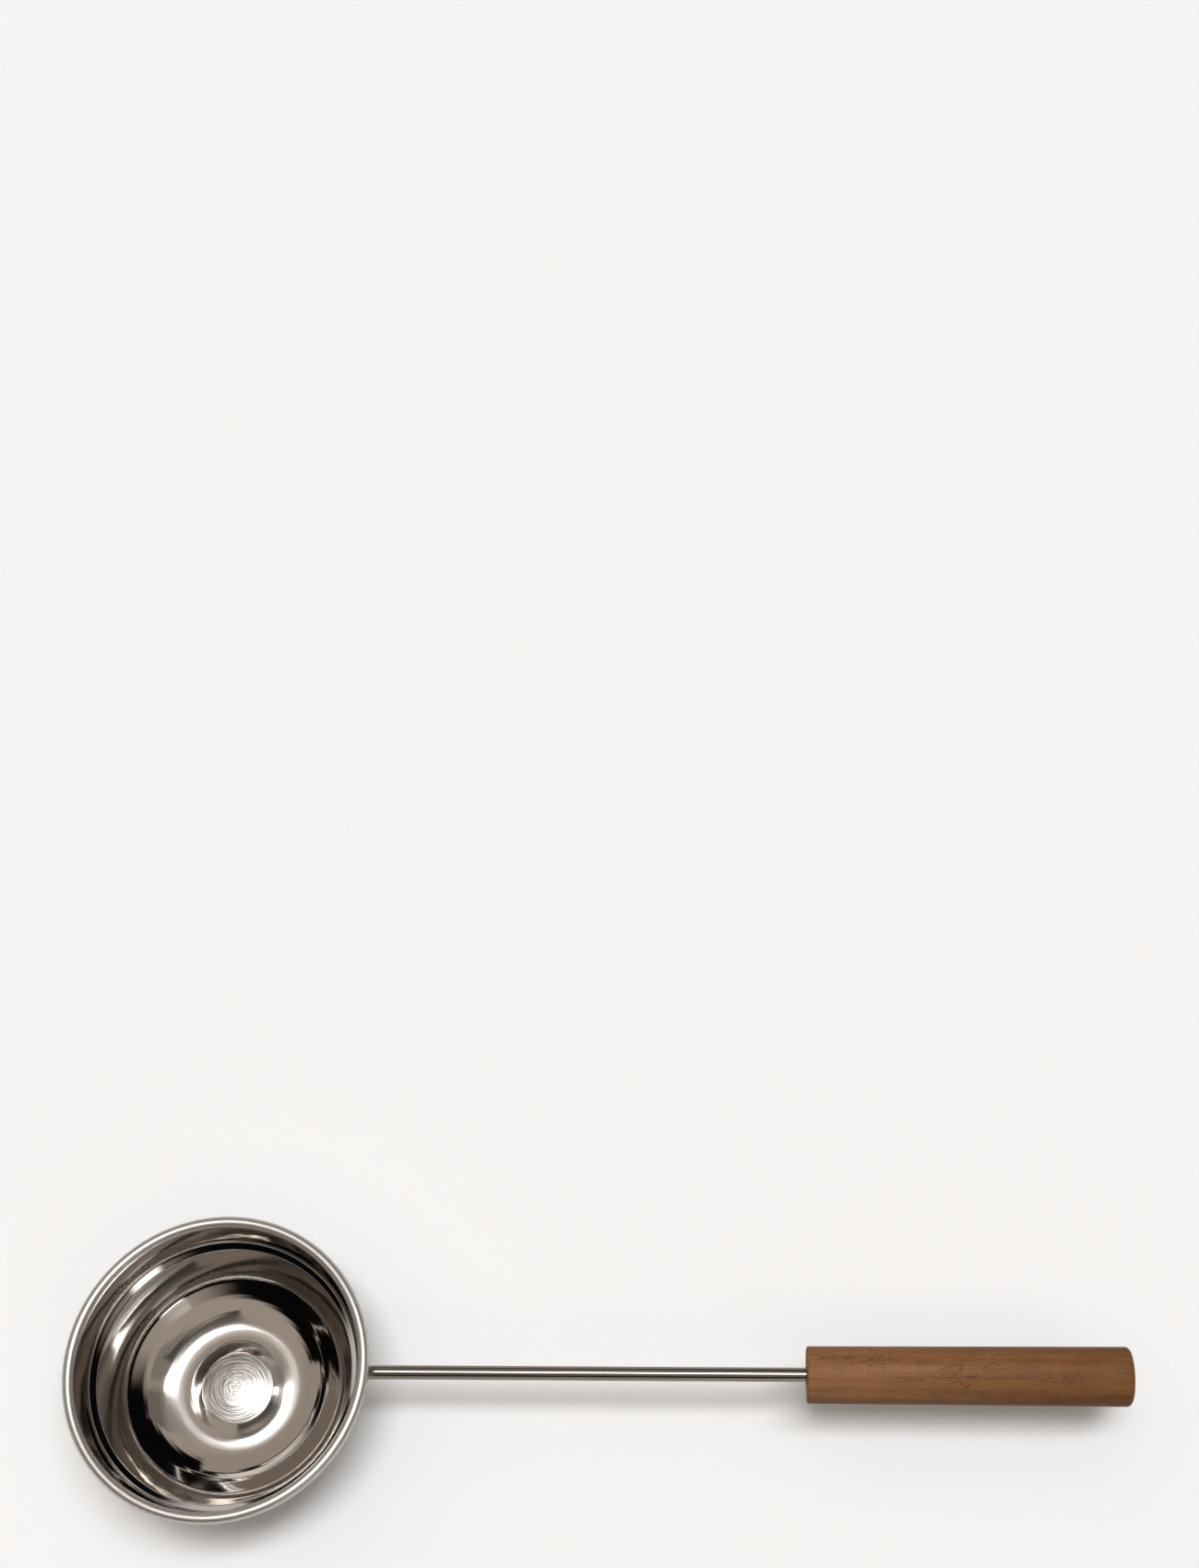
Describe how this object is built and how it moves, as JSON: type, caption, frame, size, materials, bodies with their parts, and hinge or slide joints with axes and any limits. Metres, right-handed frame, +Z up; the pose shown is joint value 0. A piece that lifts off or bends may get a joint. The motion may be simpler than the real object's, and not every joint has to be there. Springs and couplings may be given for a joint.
{
  "type": "sauna ladle",
  "caption": "Long-handled ladle: polished steel bowl with stepped side and rolled rim, round steel rod welded to the bowl, and a turned wooden grip, for scooping and pouring water.",
  "frame": {"origin": "on the resting plane, under the middle of the whole length, on the rod's line", "axes": "+X from the bowl towards the grip, +Z up out of the bowl's mouth, +Y across"},
  "size_m": [0.4115, 0.12, 0.045],
  "materials": {
    "polished_steel": "mirror-polished stainless sheet, satin turned centre",
    "rod_steel": "bright drawn stainless bar",
    "weld_steel": "cleaned weld",
    "wood": "brown heat-treated hardwood, plain oiled"
  },
  "bodies": {
    "root": {"bowl": "polished_steel", "rod": "rod_steel", "weld": "weld_steel", "grip": "wood"}
  },
  "joints": []
}
